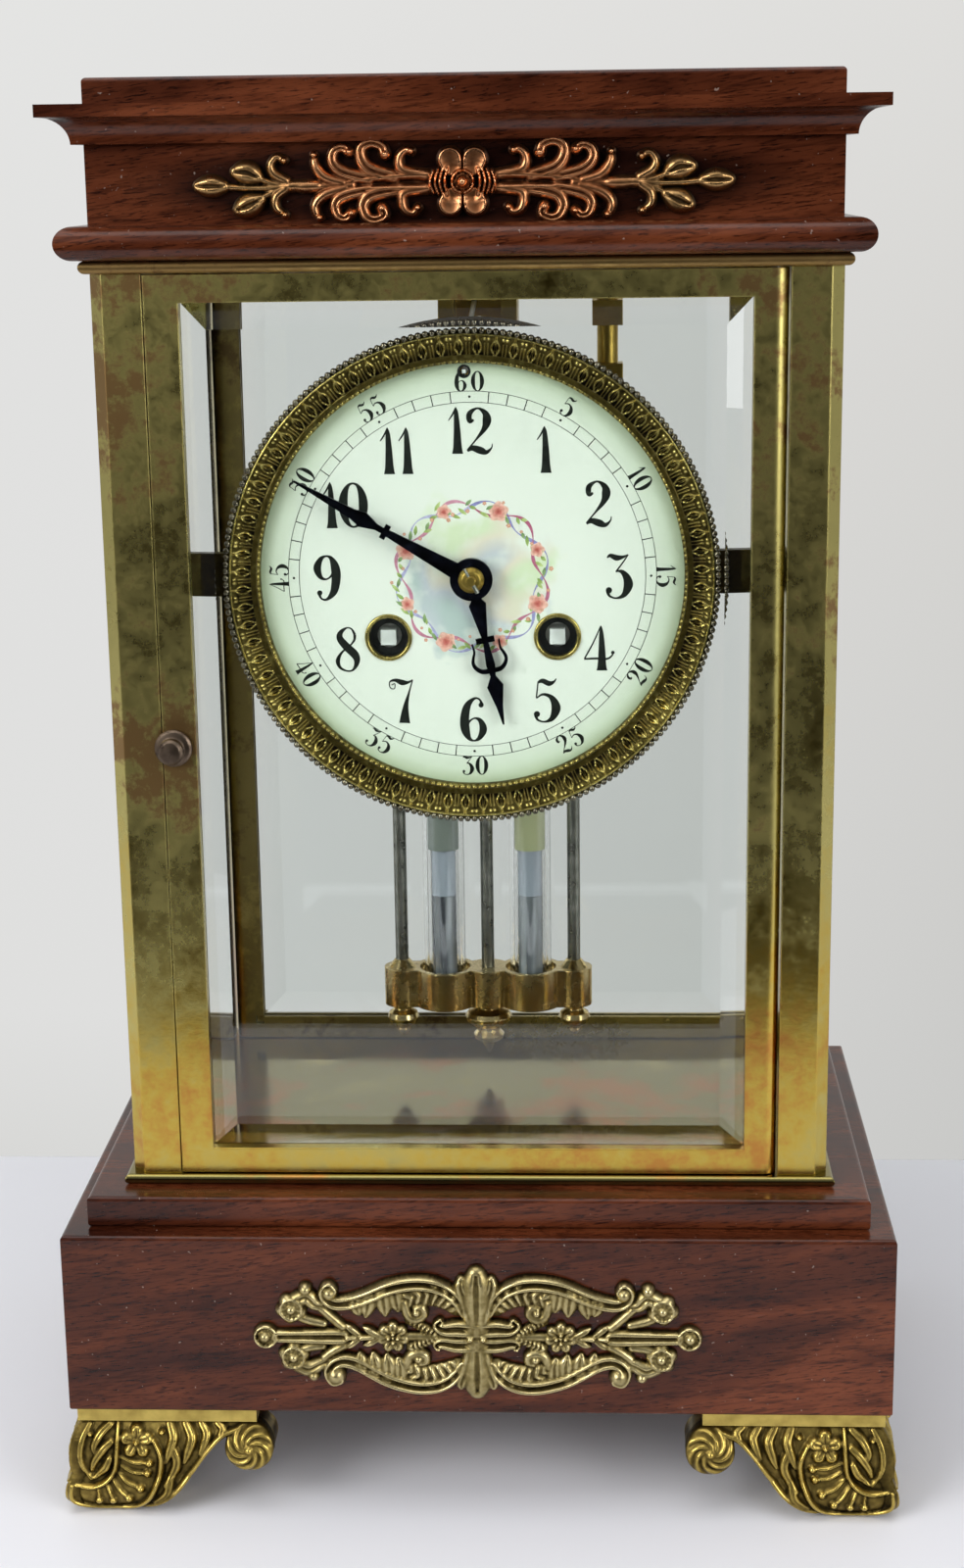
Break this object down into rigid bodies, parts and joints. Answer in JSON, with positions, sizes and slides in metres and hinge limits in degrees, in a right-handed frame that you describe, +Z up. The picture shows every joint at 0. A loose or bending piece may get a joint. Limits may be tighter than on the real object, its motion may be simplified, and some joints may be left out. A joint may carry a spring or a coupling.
{
  "type": "four-glass mantel clock",
  "caption": "Mantel clock with glazed brass case, wooden base and top, round white dial, striking train and mercury pendulum.",
  "frame": {"origin": "under the middle of the clock, on the surface its feet stand on", "axes": "+X to the right as seen from the front, +Y to the back, +Z up; the dial faces -Y"},
  "size_m": [0.2056, 0.1402, 0.3483],
  "materials": {
    "mahogany": "dark red-brown polished mahogany",
    "case_brass": "aged brass with brown tarnish",
    "gilt_brass": "cast brass, gilt and worn",
    "copper_gilt": "copper-toned cast brass",
    "clear_glass": "clear bevelled glass",
    "enamel": "white fired enamel with black numerals and a painted garland",
    "blued_steel": "blue-black steel",
    "steel": "plain steel",
    "quicksilver": "bright mercury",
    "movement_brass": "lacquered sheet brass"
  },
  "bodies": {
    "case": {"feet": "gilt_brass", "plinth": "mahogany", "base_step": "mahogany", "base_plate": "case_brass", "corner_posts": "case_brass", "side_rails": "case_brass", "side_glass": "clear_glass", "top_plate": "case_brass", "top_torus": "mahogany", "top_frieze": "mahogany", "top_cornice": "mahogany", "base_ornament": "gilt_brass", "top_ornament": "copper_gilt", "hinge_pins": "steel", "front_plate": "movement_brass", "back_plate": "movement_brass", "pillars": "movement_brass", "dial": "enamel", "bezel": "gilt_brass", "dial_drum": "gilt_brass", "movement_straps": "movement_brass", "suspension_cock": "movement_brass", "gong_stand": "movement_brass", "gong": "blued_steel"},
    "front_door": {"front_door_frame": "case_brass", "front_glass": "clear_glass"},
    "front_latch": {"front_knob": "copper_gilt"},
    "rear_door": {"rear_door_frame": "case_brass", "rear_glass": "clear_glass"},
    "rear_latch": {"rear_knob": "copper_gilt"},
    "center": {"center_wheel": "movement_brass", "cannon_pinion": "steel", "minute_hand": "blued_steel", "hand_nut": "gilt_brass"},
    "minute_gear": {"minute_wheel": "movement_brass"},
    "hour": {"hour_wheel": "movement_brass", "hour_hand": "blued_steel"},
    "going_drum": {"going_barrel": "movement_brass", "going_mainspring": "steel"},
    "going_winder": {"going_arbor": "steel"},
    "going_pawl": {"going_click": "steel"},
    "going_second": {"going_second_wheel": "movement_brass"},
    "third": {"third_wheel": "movement_brass"},
    "escape": {"escape_wheel": "movement_brass"},
    "anchor": {"pallets": "steel"},
    "strike_drum": {"strike_barrel": "movement_brass", "strike_mainspring": "steel"},
    "strike_winder": {"strike_arbor": "steel"},
    "strike_pawl": {"strike_click": "steel"},
    "strike_second": {"strike_second_wheel": "movement_brass"},
    "pins": {"pin_wheel": "movement_brass"},
    "warning": {"warning_wheel": "movement_brass"},
    "fan": {"fly": "movement_brass"},
    "striker": {"hammer": "movement_brass"},
    "pendulum": {"pendulum_rods": "steel", "bob_frame": "movement_brass", "vials": "clear_glass", "mercury": "quicksilver"},
    "nut": {"rating_nut": "movement_brass"},
    "regulator": {"regulator_arbor": "steel"}
  },
  "joints": [
    {"name": "front_door_hinge", "type": "hinge", "parent": "case", "child": "front_door", "pos_m": [0.07075, -0.04975, 0.1951], "axis": [0, 0, 1], "range_deg": [0, 90]},
    {"name": "front_latch_turn", "type": "hinge", "parent": "front_door", "child": "front_latch", "pos_m": [-0.07115, -0.0495, 0.1941], "axis": [0, -1, 0], "range_deg": [0, 90]},
    {"name": "rear_door_hinge", "type": "hinge", "parent": "case", "child": "rear_door", "pos_m": [-0.07075, 0.04975, 0.1951], "axis": [0, 0, 1], "range_deg": [0, 90]},
    {"name": "rear_latch_turn", "type": "hinge", "parent": "rear_door", "child": "rear_latch", "pos_m": [0.07115, 0.0495, 0.1941], "axis": [0, 1, 0], "range_deg": [0, 90]},
    {"name": "center_spin", "type": "hinge", "parent": "case", "child": "center", "pos_m": [0, 0, 0.2323], "axis": [0, 1, 0], "continuous": true},
    {"name": "minute_wheel_spin", "type": "hinge", "parent": "case", "child": "minute_gear", "pos_m": [0, 0, 0.2467], "axis": [0, 1, 0], "continuous": true},
    {"name": "hour_spin", "type": "hinge", "parent": "case", "child": "hour", "pos_m": [0, 0, 0.2323], "axis": [0, 1, 0], "continuous": true},
    {"name": "going_barrel_spin", "type": "hinge", "parent": "case", "child": "going_drum", "pos_m": [0.0204, 0, 0.2177], "axis": [0, 1, 0], "continuous": true},
    {"name": "going_second_spin", "type": "hinge", "parent": "case", "child": "going_second", "pos_m": [0.01504, 0, 0.23699], "axis": [0, 1, 0], "continuous": true},
    {"name": "third_spin", "type": "hinge", "parent": "case", "child": "third", "pos_m": [0.00153, 0, 0.24607], "axis": [0, 1, 0], "continuous": true},
    {"name": "escape_spin", "type": "hinge", "parent": "case", "child": "escape", "pos_m": [0, 0, 0.2583], "axis": [0, 1, 0], "continuous": true},
    {"name": "going_winding", "type": "hinge", "parent": "case", "child": "going_winder", "pos_m": [0.0204, 0, 0.2177], "axis": [0, 1, 0], "continuous": true},
    {"name": "going_click_lift", "type": "hinge", "parent": "case", "child": "going_pawl", "pos_m": [0.0306, 0, 0.2229], "axis": [0, 1, 0], "range_deg": [0, 12]},
    {"name": "pendulum_swing", "type": "hinge", "parent": "case", "child": "pendulum", "pos_m": [0, 0.021, 0.2708], "axis": [0, 1, 0], "range_deg": [-3, 3]},
    {"name": "pallet_rock", "type": "hinge", "parent": "case", "child": "anchor", "pos_m": [0, 0, 0.2708], "axis": [0, 1, 0], "range_deg": [-3, 3]},
    {"name": "rating_nut_turn", "type": "hinge", "parent": "pendulum", "child": "nut", "pos_m": [0, 0.021, 0.1], "axis": [0, 0, 1], "continuous": true},
    {"name": "pin_wheel_spin", "type": "hinge", "parent": "case", "child": "pins", "pos_m": [-0.01483, 0, 0.25137], "axis": [0, 1, 0], "continuous": true},
    {"name": "strike_barrel_spin", "type": "hinge", "parent": "case", "child": "strike_drum", "pos_m": [-0.0204, 0, 0.2177], "axis": [0, 1, 0], "continuous": true},
    {"name": "strike_second_spin", "type": "hinge", "parent": "case", "child": "strike_second", "pos_m": [-0.01967, 0, 0.23771], "axis": [0, 1, 0], "continuous": true},
    {"name": "warning_spin", "type": "hinge", "parent": "case", "child": "warning", "pos_m": [-0.01489, 0, 0.26208], "axis": [0, 1, 0], "continuous": true},
    {"name": "fly_spin", "type": "hinge", "parent": "case", "child": "fan", "pos_m": [-0.02197, 0, 0.26011], "axis": [0, 1, 0], "continuous": true},
    {"name": "strike_winding", "type": "hinge", "parent": "case", "child": "strike_winder", "pos_m": [-0.0204, 0, 0.2177], "axis": [0, 1, 0], "continuous": true},
    {"name": "strike_click_lift", "type": "hinge", "parent": "case", "child": "strike_pawl", "pos_m": [-0.0306, 0, 0.2229], "axis": [0, -1, 0], "range_deg": [0, 12]},
    {"name": "hammer_lift", "type": "hinge", "parent": "case", "child": "striker", "pos_m": [-0.033, 0, 0.2563], "axis": [0, 1, 0], "range_deg": [0, 15]},
    {"name": "regulator_turn", "type": "hinge", "parent": "case", "child": "regulator", "pos_m": [-0.0012, 0, 0.2811], "axis": [0, 1, 0], "continuous": true}
  ],
  "couplings": [
    {"joint": "minute_wheel_spin", "follows": "center_spin", "ratio": -0.33333},
    {"joint": "hour_spin", "follows": "center_spin", "ratio": 0.083333},
    {"joint": "going_second_spin", "follows": "center_spin", "ratio": -0.125},
    {"joint": "going_barrel_spin", "follows": "center_spin", "ratio": 0.0125},
    {"joint": "third_spin", "follows": "center_spin", "ratio": -10},
    {"joint": "escape_spin", "follows": "center_spin", "ratio": 100},
    {"joint": "strike_barrel_spin", "follows": "pin_wheel_spin", "ratio": 0.0125},
    {"joint": "strike_second_spin", "follows": "pin_wheel_spin", "ratio": -0.125},
    {"joint": "warning_spin", "follows": "pin_wheel_spin", "ratio": -8},
    {"joint": "fly_spin", "follows": "pin_wheel_spin", "ratio": 48},
    {"joint": "pallet_rock", "follows": "pendulum_swing", "ratio": 1}
  ]
}
